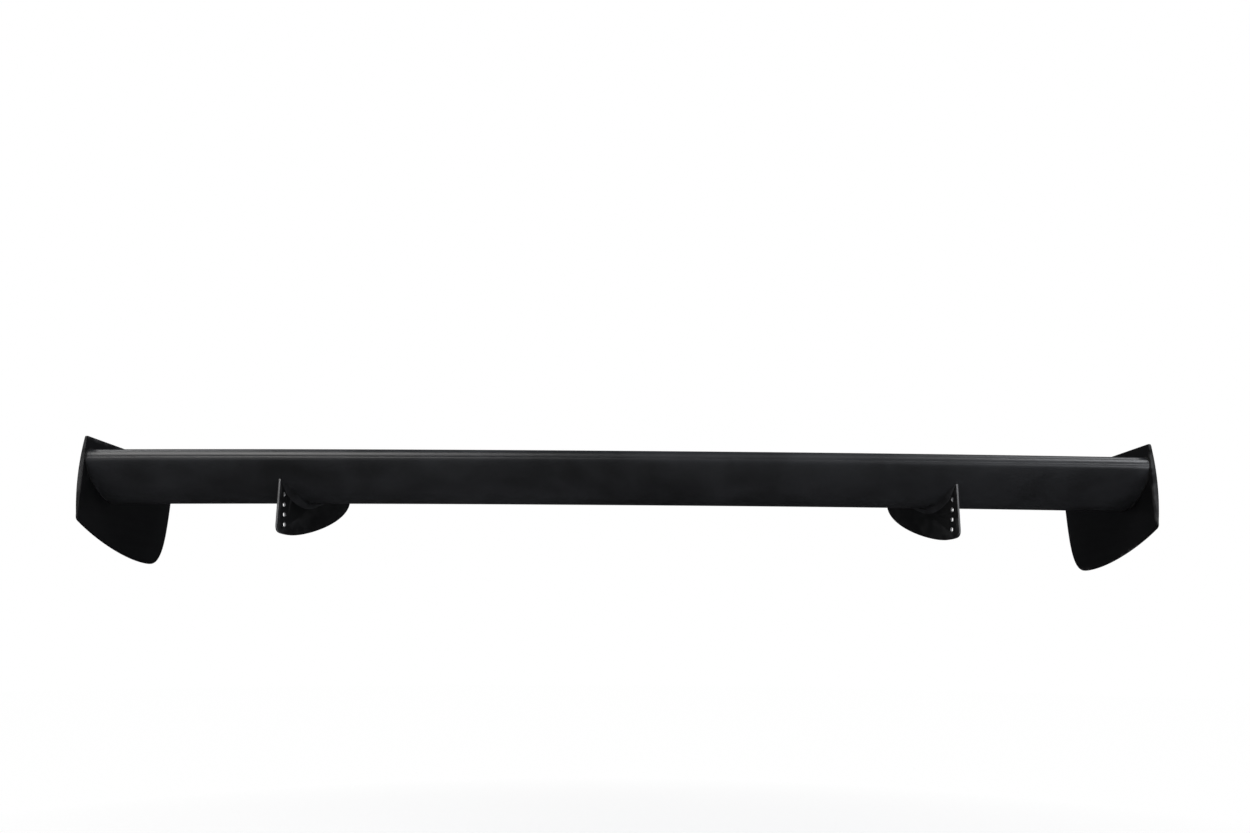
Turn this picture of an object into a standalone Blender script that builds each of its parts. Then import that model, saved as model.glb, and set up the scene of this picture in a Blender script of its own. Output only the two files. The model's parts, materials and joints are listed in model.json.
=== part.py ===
"""Racing rear wing: a hollow moulded blade between two endplates, carried on two drilled mounting fins.

Metres. +X is the car's left, -Y faces forwards, +Z is up. The origin is midway between the top
adjustment holes of the two fins, where the car's uprights take hold. Side view points are (back, up),
measured from the endplates' front top corner: back grows towards the tail, and up is negative below
the top edge.
"""

import math

import bmesh
import bpy
import numpy as np
from mathutils import Matrix, Vector

WIDTH = 1.550               # over the edges of both endplates; their crowns stand further out
PLATE_LENGTH = 0.2945
PLATE_HEIGHT = 0.170
PLATE_ROWS = 9              # faces of an endplate from top to bottom and from front to rear
PLATE_COLUMNS = 9
PLATE_EDGE = 0.0025         # endplate thickness along its top and bottom edges
PLATE_CROWN = 0.0040        # extra thickness at mid height
PLATE_ROUND = 0.0030        # size of the two rounded top corners
PLATE_LOWEST = (0.235, -PLATE_HEIGHT)
PLATE_REAR = (PLATE_LENGTH - 0.0023, -0.0550)
PLATE_CORNER = ((0.0, -0.1135), (0.0, -0.1185), (0.0010, -0.1205), (0.0050, -0.1228))
PLATE_SWEEP = ((0.060, -0.1450), (0.160, -PLATE_HEIGHT))
PLATE_LOBE = ((0.2840, -PLATE_HEIGHT), (0.2875, -0.1200))
BOW = 0.004                 # how much higher the blade is at mid span than at its ends
BOW_POWER = 2.2             # over 2 keeps the middle flat and turns the ends down
SKIN = 0.0025               # wall of the moulded skins
JOINT = 0.0004              # bond line between neighbours
FIT = 0.0003                # clearance around a piece that passes through another

NOSE_BACK = 0.0018          # short upright land at the nose where the two skins butt together
NOSE_TOP = -0.0290
NOSE_SPLIT = -0.0310
NOSE_LOW = -0.0330
CREST = (0.018, -0.0178)
BELLY = (0.093, -0.0880)
TAIL_TOP = (0.270, -0.0080)
TAIL_LOW = (0.270, -0.0105)
NOSE_OVER = ((NOSE_BACK, CREST[1] - 0.0037), (0.0085, CREST[1]))    # pulls that shape each curve
DISH = ((0.055, CREST[1]), (0.105, -0.0780))
NOSE_UNDER = ((NOSE_BACK, -0.0450), (0.043, BELLY[1]))
RUN_OUT = ((0.140, BELLY[1]), (0.215, -0.0340))
STRIP_TOP = 0.2310          # where the solid trailing edge strip starts on the upper side
STRIP_LOW = 0.2337          # and on the lower side
STATIONS = 12               # lengthwise steps of the blade

SPAR_RADIUS = 0.015
SPAR_WALL = 0.002
SPAR_AT = (0.080, -0.0590)
REAR_SPAR_RADIUS = 0.006
REAR_SPAR_WALL = 0.0015
REAR_SPAR_AT = (0.150, -0.0565)

RIB_TAIL = 0.205            # ribs stop here, ahead of the thin tail
END_RIB = 0.012             # rib thicknesses
MOUNT_RIB = 0.008
MOUNT_RIB_SPAN = 0.08       # a toed rib stays within this distance of its fin's front edge
CENTRE_RIB = 0.006
SEAL = 0.0010
SEAL_LIP = 0.0010           # how far the end seal stands proud of the blade's outline

FIN = 0.003                 # fin plate thickness
FIN_X = 0.496               # half the distance between the fins' front edges
FIN_FRONT = 0.022
FIN_REAR = 0.227
FIN_FOOT = -0.1365
FOOT_FRONT = (0.035, FIN_FOOT)
FOOT_REAR = (0.064, FIN_FOOT - 0.0003)
FIN_TAIL = (FIN_REAR, -0.0650)
FIN_CORNER = ((FIN_FRONT, FIN_FOOT + 0.0125), (FIN_FRONT, FIN_FOOT + 0.0040), (0.026, FIN_FOOT + 0.0006))
FIN_SOLE = ((0.044, FIN_FOOT - 0.0008), (0.054, FIN_FOOT - 0.0008))
FIN_SWEEP = ((0.112, -0.1330), (FIN_REAR, -0.1000))
FIN_TOP_REAR = FIN_REAR - 0.003     # where the top edge starts, ahead of the rear corner
FIN_TOE = math.radians(13.3)
FIN_HOLE_RADIUS = 0.0033    # clearance for M6
FIN_HOLE_COUNT = 4
FIN_HOLE_TOP = (0.0345, -0.0797)
FIN_HOLE_PITCH = 0.0146
FIN_HOLE_LEAN = math.radians(9.3)
ORIGIN_BACK, ORIGIN_UP = FIN_HOLE_TOP
FIN_TABS = ((0.038, 0.060, -0.048), (0.104, 0.138, -0.056))   # from back, to back, top height
TAB_BOLTS = ((0.049, -0.0585), (0.121, -0.0660))
FILLET = 0.0075             # leg of the bonded fillet between fin and underside
FILLET_FRONT = FIN_FRONT + 0.001
FILLET_REAR = 0.205
FILLET_TAPER = 0.020        # length over which it grows from each end to its full leg
FILLET_TIP = 0.2            # share of its leg left at the very ends
SLOT_HEIGHT = 0.030         # tall enough to open the lower skin round a tab

PLATE_SCREWS = ((0.037, -0.0510), (0.114, -0.0640), (0.177, -0.0475))
SCREW_RADIUS = 0.003
SCREW_LENGTH = 0.014
HEAD_RADIUS = 0.0052
HEAD_HEIGHT = 0.0024
WASHER_RADIUS = 0.0062
WASHER = 0.0010
SPOTFACE_RADIUS = 0.0072
SPOTFACE_FLOOR = 0.0024     # plate left under the washer
BORE_REACH = 0.010          # how far cutters reach beyond an endplate's inner face
SOCKET_RADIUS = 0.0020
INSERT_RADIUS = 0.0045
BOLT_RADIUS = 0.0025
BOLT_HEAD_RADIUS = 0.0045
BOLT_HEAD = 0.0030
BOLT_TIP = 0.0015           # how far a tab bolt stands out of its nut
NUT_RADIUS = 0.0046
NUT = 0.0040

INNER_FACE = WIDTH / 2 - PLATE_EDGE
BLADE_END = INNER_FACE - SEAL - 2 * FIT
SIDES = {"left": 1, "right": -1}


# ---------------------------------------------------------------- side view geometry

def bezier(start, pull_start, pull_end, end, count):
    """Points along a cubic curve, from its start up to but not including its end."""
    corners = np.array([start, pull_start, pull_end, end])
    points = []
    for step in range(count):
        t = step / count
        weights = np.array([(1 - t) ** 3, 3 * t * (1 - t) ** 2, 3 * t * t * (1 - t), t ** 3])
        points.append(tuple(weights @ corners))
    return points


def upper_line():
    """The blade's upper side, from the split at the nose over the crest and the dish to the tail."""
    nose = (NOSE_BACK, NOSE_TOP)
    over_nose = bezier(nose, *NOSE_OVER, CREST, 5)
    dish = bezier(CREST, *DISH, TAIL_TOP, 14)
    return [(NOSE_BACK, NOSE_SPLIT + FIT / 2)] + over_nose + dish + [TAIL_TOP]


def lower_line():
    """The blade's lower side, from the split at the nose round the belly to the tail."""
    nose = (NOSE_BACK, NOSE_LOW)
    under_nose = bezier(nose, *NOSE_UNDER, BELLY, 12)
    run_out = bezier(BELLY, *RUN_OUT, TAIL_LOW, 12)
    return [(NOSE_BACK, NOSE_SPLIT - FIT / 2)] + under_nose + run_out + [TAIL_LOW]


def height_at(line, back):
    """Height of a side view line at a distance back."""
    backs, ups = zip(*line)
    return float(np.interp(back, backs, ups))


def trimmed(line, back):
    """The part of a line ahead of a distance back, with an end point exactly there."""
    kept = [point for point in line if point[0] < back - 0.0005]
    return kept + [(back, height_at(line, back))]


def offset(line, distance):
    """A line moved to its own left by a distance, with mitred corners."""
    points = [Vector(point) for point in line]
    normals = []
    for first, second in zip(points, points[1:]):
        along = (second - first).normalized()
        normals.append(Vector((-along.y, along.x)))
    moved = [points[0] + normals[0] * distance]
    for point, before, after in zip(points[1:-1], normals, normals[1:]):
        middle = (before + after).normalized()
        moved.append(point + middle * distance / middle.dot(before))
    moved.append(points[-1] + normals[-1] * distance)
    return [tuple(point) for point in moved]


def rise(x):
    """Height gained by the bow of the blade at a place across the car."""
    return BOW * (1 - abs(x / (WIDTH / 2)) ** BOW_POWER)


def spot(x, back, up):
    """Side view point to world coordinates."""
    return Vector((x, back - ORIGIN_BACK, up - ORIGIN_UP))


def rib_outline(tail, bond):
    """Closed outline that fills the blade's hollow back to a distance, less a bond line, in side view."""
    gap = SKIN + bond
    over = offset(trimmed(upper_line(), tail), -gap)
    under = offset(trimmed(lower_line(), tail), gap)
    return over + under[::-1]


# ---------------------------------------------------------------- scene and helpers

def clear_scene():
    for item in list(bpy.data.objects):
        bpy.data.objects.remove(item, do_unlink=True)


def new_collection(name):
    collection = bpy.data.collections.new(name)
    bpy.context.scene.collection.children.link(collection)
    return collection


def finish(name, color, roughness, metallic):
    material = bpy.data.materials.new(name)
    material.use_nodes = True
    shader = material.node_tree.nodes["Principled BSDF"]
    shader.inputs["Base Color"].default_value = (*color, 1)
    shader.inputs["Roughness"].default_value = roughness
    shader.inputs["Metallic"].default_value = metallic
    return material


clear_scene()
WING = new_collection("racing_rear_wing")
CUTTERS = new_collection("cutters")
GELCOAT = finish("satin_black_gelcoat", (0.014, 0.014, 0.016), 0.38, 0.0)
PLATE_BLACK = finish("endplate_black", (0.010, 0.010, 0.011), 0.42, 0.0)
FIN_BLACK = finish("fin_black_paint", (0.012, 0.012, 0.013), 0.40, 0.3)
BOND = finish("black_bonding_paste", (0.018, 0.018, 0.019), 0.50, 0.0)
PLYWOOD = finish("birch_plywood", (0.55, 0.40, 0.24), 0.65, 0.0)
ALUMINIUM = finish("drawn_aluminium", (0.72, 0.73, 0.75), 0.35, 1.0)
BRASS = finish("brass", (0.70, 0.52, 0.25), 0.35, 1.0)
STEEL = finish("stainless_steel", (0.60, 0.60, 0.60), 0.30, 1.0)
FOAM_RUBBER = finish("seal_rubber", (0.020, 0.020, 0.020), 0.75, 0.0)


def add_piece(name, mesh, material, collection=WING):
    piece = bpy.data.objects.new(name, mesh)
    collection.objects.link(piece)
    if material:
        mesh.materials.clear()
        mesh.materials.append(material)
    return piece


def from_bmesh(name, build, material, collection=WING):
    mesh = bpy.data.meshes.new(name)
    build.normal_update()
    build.to_mesh(mesh)
    build.free()
    return add_piece(name, mesh, material, collection)


def soften(piece, degrees=35):
    piece.data.shade_smooth()
    piece.data.set_sharp_from_angle(angle=math.radians(degrees))


def cut(piece, cutter):
    boolean = piece.modifiers.new("cut_" + cutter.name, "BOOLEAN")
    boolean.operation = "DIFFERENCE"
    boolean.solver = "EXACT"
    boolean.object = cutter


def add_rod(build, start, end, radius, segments):
    """Adds a closed round rod between two points to a bmesh."""
    along = end - start
    turn = along.to_track_quat("Z", "Y").to_matrix().to_4x4()
    matrix = Matrix.Translation((start + end) / 2) @ turn
    bmesh.ops.create_cone(build, cap_ends=True, segments=segments, radius1=radius, radius2=radius,
                          depth=along.length, matrix=matrix)


def rods_cutter(name, rods, segments=24):
    """A cutter made of round rods, each given as start, end and radius."""
    build = bmesh.new()
    for start, end, radius in rods:
        add_rod(build, start, end, radius, segments)
    cutter = from_bmesh(name, build, None, CUTTERS)
    cutter.hide_render = True
    cutter.display_type = "WIRE"
    return cutter


def flat_plate(name, outline, thickness, matrix, material, collection=WING):
    """A flat plate from a side view outline, its thickness shared equally about the matrix's YZ plane."""
    curve = bpy.data.curves.new(name + "_outline", "CURVE")
    curve.dimensions = "2D"
    curve.fill_mode = "BOTH"
    curve.extrude = thickness / 2
    spline = curve.splines.new("POLY")
    spline.points.add(len(outline) - 1)
    for point, (along, up) in zip(spline.points, outline):
        point.co = (along, up, 0, 1)
    spline.use_cyclic_u = True
    drawing = bpy.data.objects.new(name + "_outline", curve)
    collection.objects.link(drawing)
    upright = Matrix(((0, 0, 1, 0), (1, 0, 0, 0), (0, 1, 0, 0), (0, 0, 0, 1)))
    drawing.matrix_world = matrix @ upright
    bpy.context.view_layer.update()
    evaluated = drawing.evaluated_get(bpy.context.evaluated_depsgraph_get())
    mesh = bpy.data.meshes.new_from_object(evaluated)
    build = bmesh.new()
    build.from_mesh(mesh)
    bmesh.ops.remove_doubles(build, verts=build.verts, dist=0.00001)
    bmesh.ops.recalc_face_normals(build, faces=build.faces)
    build.to_mesh(mesh)
    build.free()
    piece = add_piece(name, mesh, material, collection)
    piece.matrix_world = drawing.matrix_world.copy()
    bpy.data.objects.remove(drawing)
    return piece


def turned(name, profile, matrix, material, closed=False, steps=20):
    """A turned piece about the matrix's Z axis, from (radius, height) points, outer side top to bottom."""
    mesh = bpy.data.meshes.new(name)
    points = [(radius, 0, height) for radius, height in profile]
    edges = [(index, index + 1) for index in range(len(points) - 1)]
    if closed:
        edges.append((len(points) - 1, 0))
    mesh.from_pydata(points, edges, [])
    piece = add_piece(name, mesh, material)
    piece.matrix_world = matrix
    screw = piece.modifiers.new("turn", "SCREW")
    screw.axis = "Z"
    screw.angle = math.tau
    screw.steps = steps
    screw.render_steps = steps
    screw.use_merge_vertices = True
    screw.merge_threshold = 0.00001
    screw.use_smooth_shade = True
    return piece


def ring_profile(outer, inner, low, high):
    return [(outer, high), (outer, low), (inner, low), (inner, high)]


def facing(point, direction):
    """Matrix at a point whose Z axis runs along a direction."""
    return Matrix.Translation(point) @ direction.to_track_quat("Z", "Y").to_matrix().to_4x4()


# ---------------------------------------------------------------- blade

def lofted_sheet(name, line, outward_down, material):
    """Open sheet that carries a side view line across the blade, following its bow."""
    build = bmesh.new()
    rows = []
    for x in np.linspace(-BLADE_END, BLADE_END, STATIONS + 1):
        rows.append([build.verts.new(spot(x, back, up + rise(x))) for back, up in line])
    for row, following in zip(rows, rows[1:]):
        for index in range(len(line) - 1):
            corners = [row[index], following[index], following[index + 1], row[index + 1]]
            build.faces.new(corners[::-1] if outward_down else corners)
    return from_bmesh(name, build, material)


def make_skin(name, line, outward_down):
    skin = lofted_sheet(name, line, outward_down, GELCOAT)
    wall = skin.modifiers.new("wall", "SOLIDIFY")
    wall.thickness = SKIN
    wall.offset = -1
    wall.use_even_offset = True
    soften(skin)
    return skin


def make_trailing_edge():
    """Solid wedge that closes the two skins along the tail."""
    upper = [point for point in upper_line() if point[0] > STRIP_TOP + 0.003]
    lower = [point for point in lower_line() if point[0] > STRIP_LOW + 0.003]
    front_top = (STRIP_TOP, height_at(upper_line(), STRIP_TOP))
    front_low = (STRIP_LOW, height_at(lower_line(), STRIP_LOW))
    section = [front_top] + upper + lower[::-1] + [front_low]
    build = bmesh.new()
    rings = []
    for x in np.linspace(-BLADE_END, BLADE_END, STATIONS + 1):
        rings.append([build.verts.new(spot(x, back, up + rise(x))) for back, up in section])
    for ring, following in zip(rings, rings[1:]):
        for index in range(len(section)):
            after = (index + 1) % len(section)
            build.faces.new([ring[index], following[index], following[after], ring[after]])
    build.faces.new(rings[0])
    build.faces.new(rings[-1][::-1])
    bmesh.ops.recalc_face_normals(build, faces=build.faces)
    strip = from_bmesh("trailing_edge_strip", build, GELCOAT)
    soften(strip)


def make_spar(name, radius, wall, at):
    """Straight aluminium tube across the blade, at the middle of the bow's height."""
    length = 2 * (BLADE_END - FIT)
    centre = spot(0, at[0], at[1] + BOW / 2)
    profile = ring_profile(radius, radius - wall, -length / 2, length / 2)
    turned(name, profile, facing(centre, Vector((1, 0, 0))), ALUMINIUM, closed=True, steps=24)


def spar_rods(reach_from, reach_to):
    """Clearance rods for both spars between two places across the car."""
    rods = []
    for radius, at in ((SPAR_RADIUS, SPAR_AT), (REAR_SPAR_RADIUS, REAR_SPAR_AT)):
        height = at[1] + BOW / 2
        start = spot(reach_from, at[0], height)
        end = spot(reach_to, at[0], height)
        rods.append((start, end, radius + FIT))
    return rods


def make_upright_rib(name, x, thickness, extra_rods=()):
    outline = [tuple(spot(0, back, up + rise(x)).yz) for back, up in rib_outline(RIB_TAIL, JOINT)]
    rib = flat_plate(name, outline, thickness, Matrix.Translation((x, 0, 0)), PLYWOOD)
    rods = spar_rods(x - thickness, x + thickness) + list(extra_rods)
    cut(rib, rods_cutter(name + "_holes", rods))


# ---------------------------------------------------------------- mounting fins

def fin_point(side, back, up, out=0.0):
    """World point on a fin's middle plane, moved outwards from the car's centre by a distance."""
    along = (back - FIN_FRONT) / math.cos(FIN_TOE)
    x = FIN_X - math.sin(FIN_TOE) * along + math.cos(FIN_TOE) * out
    y_shift = math.cos(FIN_TOE) * along + math.sin(FIN_TOE) * out
    return spot(side * x, FIN_FRONT + y_shift, up)


def fin_rise(back):
    return rise(fin_point(1, back, 0).x)


def underside(back):
    """Height of the blade's lower side over a fin, at whichever of its two faces is lower."""
    spread = math.sin(FIN_TOE) * FIN / 2
    lowest = min(height_at(lower_line(), back - spread), height_at(lower_line(), back + spread))
    return lowest + fin_rise(back)


def along_underside(start, end):
    """Points a bond line below the blade's underside between two distances back."""
    count = max(1, round(abs(start - end) / 0.008))
    return [(back, underside(back) - JOINT) for back in np.linspace(start, end, count + 1)]


def fin_top():
    """Top edge of a fin from rear to front: along the underside, up and over each of its two tabs."""
    points = []
    rear = FIN_TOP_REAR
    for start, end, height in reversed(FIN_TABS):
        points += along_underside(rear, end)
        points += [(end, height + fin_rise(end)), (start, height + fin_rise(start))]
        rear = start
    return points + along_underside(rear, FIN_FRONT)


def fin_outline():
    """Fin outline in side view: lower front corner, foot, the sweep up to the rear, then the top edge."""
    corner = bezier(*FIN_CORNER, FOOT_FRONT, 4)
    sole = bezier(FOOT_FRONT, *FIN_SOLE, FOOT_REAR, 3)
    sweep = bezier(FOOT_REAR, *FIN_SWEEP, FIN_TAIL, 14)
    return corner + sole + sweep + [FIN_TAIL] + fin_top()


def local_outline(outline):
    """Side view outline to a toed plate's own along and up distances."""
    points = []
    for back, up in outline:
        points.append(((back - FIN_FRONT) / math.cos(FIN_TOE), up - ORIGIN_UP))
    return points


def toed_matrix(side, out=0.0):
    origin = fin_point(side, FIN_FRONT, ORIGIN_UP, out)
    return Matrix.Translation(origin) @ Matrix.Rotation(side * FIN_TOE, 4, "Z")


def fin_holes():
    """Centres of the adjustment holes in side view, top one first."""
    centres = []
    for index in range(FIN_HOLE_COUNT):
        drop = index * FIN_HOLE_PITCH
        centres.append((FIN_HOLE_TOP[0] + drop * math.sin(FIN_HOLE_LEAN),
                        FIN_HOLE_TOP[1] - drop * math.cos(FIN_HOLE_LEAN)))
    return centres


def across_fin(side, back, up, inner, outer, radius):
    """A rod square to a fin, between two distances from its middle plane."""
    return (fin_point(side, back, up, inner), fin_point(side, back, up, outer), radius)


def make_fin(label, side):
    name = "mount_fin_" + label
    fin = flat_plate(name, local_outline(fin_outline()), FIN, toed_matrix(side), FIN_BLACK)
    rods = [across_fin(side, back, up, -FIN, FIN, FIN_HOLE_RADIUS) for back, up in fin_holes()]
    for back, up in TAB_BOLTS:
        rods.append(across_fin(side, back, up + fin_rise(back), -FIN, FIN, BOLT_RADIUS + FIT))
    cut(fin, rods_cutter(name + "_holes", rods))


def make_slot_cutter(label, side):
    """Boxes that open the lower skin for a fin's tabs."""
    build = bmesh.new()
    for start, end, _ in FIN_TABS:
        height = underside((start + end) / 2) + SKIN / 2
        low = fin_point(side, start, height)
        high = fin_point(side, end, height)
        length = (high - low).length + 2 * FIT
        centre = (low + high) / 2
        matrix = Matrix.Translation(centre) @ Matrix.Rotation(side * FIN_TOE, 4, "Z")
        matrix = matrix @ Matrix.Diagonal((FIN + 2 * FIT, length, SLOT_HEIGHT, 1))
        bmesh.ops.create_cube(build, size=1, matrix=matrix)
    cutter = from_bmesh("slots_" + label, build, None, CUTTERS)
    cutter.hide_render = True
    cutter.display_type = "WIRE"
    return cutter


def make_mount_rib(label, side):
    """Plywood rib inside the blade, against the inner side of a fin's tabs."""
    name = "mount_rib_" + label
    out = -(FIN / 2 + FIT + MOUNT_RIB / 2)
    outline = []
    skew = math.sin(FIN_TOE) * MOUNT_RIB / 2
    for back, up in rib_outline(RIB_TAIL, JOINT + skew):
        outline.append((back, up + fin_rise(back)))
    rib = flat_plate(name, shifted_local(outline, out), MOUNT_RIB, toed_matrix(side, out), PLYWOOD)
    x = side * FIN_X
    rods = spar_rods(x - MOUNT_RIB_SPAN, x + MOUNT_RIB_SPAN)
    for back, up in TAB_BOLTS:
        height = up + fin_rise(back)
        rods.append(across_fin(side, back, height, -FIN - 2 * MOUNT_RIB, 0, BOLT_RADIUS + FIT))
    cut(rib, rods_cutter(name + "_holes", rods))


def shifted_local(outline, out):
    """Outline for a plate beside the fin, corrected for how far the shift moves it forwards."""
    shift = math.sin(FIN_TOE) * out
    points = []
    for back, up in outline:
        points.append(((back - shift - FIN_FRONT) / math.cos(FIN_TOE), up - ORIGIN_UP))
    return points


def make_fillet(label, side, face, outward):
    """Concave bonded fillet along one face of a fin, under the blade."""
    name = f"fin_fillet_{label}_{face}"
    build = bmesh.new()
    rings = []
    near = FIN / 2 + FIT
    for back in np.linspace(FILLET_FRONT, FILLET_REAR, 20):
        to_end = min(back - FIN_FRONT, FILLET_REAR - back)
        leg = FILLET * min(1, FILLET_TIP + (1 - FILLET_TIP) * to_end / FILLET_TAPER)
        ring = []
        for step in range(5):
            angle = math.radians(90) * step / 4
            out = near + leg * (1 - math.sin(angle))
            down = leg * (1 - math.cos(angle))
            ring.append(under_blade(side, back, outward * out, down + 2 * JOINT))
        ring.append(under_blade(side, back, outward * near, 2 * JOINT))
        rings.append([build.verts.new(point) for point in ring])
    count = len(rings[0])
    for ring, following in zip(rings, rings[1:]):
        for index in range(count):
            after = (index + 1) % count
            build.faces.new([ring[index], following[index], following[after], ring[after]])
    build.faces.new(rings[0])
    build.faces.new(rings[-1][::-1])
    bmesh.ops.recalc_face_normals(build, faces=build.faces)
    soften(from_bmesh(name, build, BOND))


def under_blade(side, back, out, down):
    """World point a distance beside a fin's middle plane and a distance below the blade there."""
    point = fin_point(side, back, 0, out)
    back_there = point.y + ORIGIN_BACK
    return spot(point.x, back_there, height_at(lower_line(), back_there) + rise(point.x) - down)


def make_tab_bolts(label, side):
    """Two bolts through each fin's tabs and the mount rib, heads on the outer side, nuts on the inner."""
    inner_face = FIN / 2 + FIT + MOUNT_RIB
    grip = FIN / 2 + FIT
    outwards = (fin_point(side, FIN_FRONT, 0, 1) - fin_point(side, FIN_FRONT, 0)).normalized()
    for place, (back, up) in zip(("front", "rear"), TAB_BOLTS):
        height = up + fin_rise(back)
        seat = facing(fin_point(side, back, height, grip), outwards)
        end = -(grip + inner_face + NUT + BOLT_TIP)
        head = [(0, BOLT_HEAD), (BOLT_HEAD_RADIUS * 0.7, BOLT_HEAD), (BOLT_HEAD_RADIUS, BOLT_HEAD * 0.4)]
        shank = [(BOLT_RADIUS, 0), (BOLT_RADIUS, end), (0, end)]
        profile = head + [(BOLT_HEAD_RADIUS, 0)] + shank
        turned(f"tab_bolt_{label}_{place}", profile, seat, STEEL, steps=16)
        nut_seat = facing(fin_point(side, back, height, -inner_face - FIT), -outwards)
        make_nut(f"tab_nut_{label}_{place}", nut_seat)


def make_nut(name, matrix):
    build = bmesh.new()
    bmesh.ops.create_cone(build, cap_ends=True, segments=6, radius1=NUT_RADIUS, radius2=NUT_RADIUS,
                          depth=NUT, matrix=Matrix.Translation((0, 0, NUT / 2)))
    nut = from_bmesh(name, build, STEEL)
    nut.matrix_world = matrix
    start = matrix @ Vector((0, 0, -NUT))
    end = matrix @ Vector((0, 0, 2 * NUT))
    cut(nut, rods_cutter(name + "_thread", [(start, end, BOLT_RADIUS + FIT)], 16))


# ---------------------------------------------------------------- endplates

def plate_underside():
    """Lower outline of an endplate from its front bottom corner round the lobe to the rear edge."""
    corner = bezier(*PLATE_CORNER, 4)
    sweep = bezier(PLATE_CORNER[-1], *PLATE_SWEEP, PLATE_LOWEST, 16)
    lobe = bezier(PLATE_LOWEST, *PLATE_LOBE, PLATE_REAR, 16)
    return corner + sweep + lobe + [PLATE_REAR]


def plate_outline():
    end = PLATE_LENGTH
    pull = PLATE_ROUND / 3
    rear_start = (end - 0.0002, -PLATE_ROUND)
    rear_end = (end - PLATE_ROUND, 0.0)
    front_start = (PLATE_ROUND, 0.0)
    front_end = (0.0, -PLATE_ROUND)
    rear_corner = bezier(rear_start, (end, -pull), (end - pull, 0.0), rear_end, 3)
    front_corner = bezier(front_start, (pull, 0.0), (0.0, -pull), front_end, 3)
    return plate_underside() + rear_corner + [rear_end] + front_corner + [front_end]


def crown(back, up):
    """Thickness of an endplate: thin along the top and bottom edges, thickest at mid height."""
    lower = height_at(plate_underside() + [(PLATE_LENGTH, -PLATE_ROUND)], back)
    middle = lower / 2
    across = min(1, abs((up - middle) / middle))
    return PLATE_EDGE + PLATE_CROWN * (1 - across ** 2)


def make_endplate(label, side):
    """Plate with a flat inner face and a crowned outer face, spot-faced for its three screws."""
    build = bmesh.new()
    corners = [build.verts.new(spot(side * INNER_FACE, back, up)) for back, up in plate_outline()]
    build.faces.new(corners)
    cuts = []
    for row in range(1, PLATE_ROWS):
        cuts.append((spot(0, 0, -PLATE_HEIGHT * row / PLATE_ROWS), (0, 0, 1)))
    for column in range(1, PLATE_COLUMNS):
        cuts.append((spot(0, PLATE_LENGTH * column / PLATE_COLUMNS, 0), (0, 1, 0)))
    for place, direction in cuts:
        geometry = build.verts[:] + build.edges[:] + build.faces[:]
        bmesh.ops.bisect_plane(build, geom=geometry, plane_co=place, plane_no=direction)
    raised = bmesh.ops.extrude_face_region(build, geom=build.faces[:])
    for item in raised["geom"]:
        if isinstance(item, bmesh.types.BMVert):
            thickness = crown(item.co.y + ORIGIN_BACK, item.co.z + ORIGIN_UP)
            item.co.x += side * thickness
    bmesh.ops.recalc_face_normals(build, faces=build.faces)
    plate = from_bmesh("endplate_" + label, build, PLATE_BLACK)
    soften(plate)
    rods = []
    for back, up in PLATE_SCREWS:
        floor = spot(side * (INNER_FACE + SPOTFACE_FLOOR), back, up)
        outside = spot(side * (INNER_FACE + 2 * BORE_REACH), back, up)
        inside = spot(side * (INNER_FACE - BORE_REACH), back, up)
        rods.append((floor, outside, SPOTFACE_RADIUS))
        bore = [(inside, outside, SCREW_RADIUS + FIT)]
        cut(plate, rods_cutter(f"endplate_{label}_bore_{back:.3f}", bore))
    cut(plate, rods_cutter(f"endplate_{label}_spotfaces", rods))


def make_end_seal(label, side):
    """Rubber sheet between blade and endplate, with a lip that stands proud of the blade all round."""
    over = offset(upper_line(), SEAL_LIP)
    under = offset(lower_line(), -SEAL_LIP)
    outline = [tuple(spot(0, back, up).yz) for back, up in over + under[::-1]]
    x = side * (INNER_FACE - FIT - SEAL / 2)
    seal = flat_plate("end_seal_" + label, outline, SEAL, Matrix.Translation((x, 0, 0)), FOAM_RUBBER)
    rods = []
    for back, up in PLATE_SCREWS:
        rods.append((spot(x - SEAL, back, up), spot(x + SEAL, back, up), SCREW_RADIUS + FIT))
    cut(seal, rods_cutter(f"end_seal_{label}_holes", rods))


def make_end_rib(label, side):
    x = side * (BLADE_END - END_RIB / 2)
    rods = []
    for back, up in PLATE_SCREWS:
        rods.append((spot(x - END_RIB, back, up), spot(x + END_RIB, back, up), INSERT_RADIUS + FIT))
    make_upright_rib("end_rib_" + label, x, END_RIB, rods)


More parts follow.
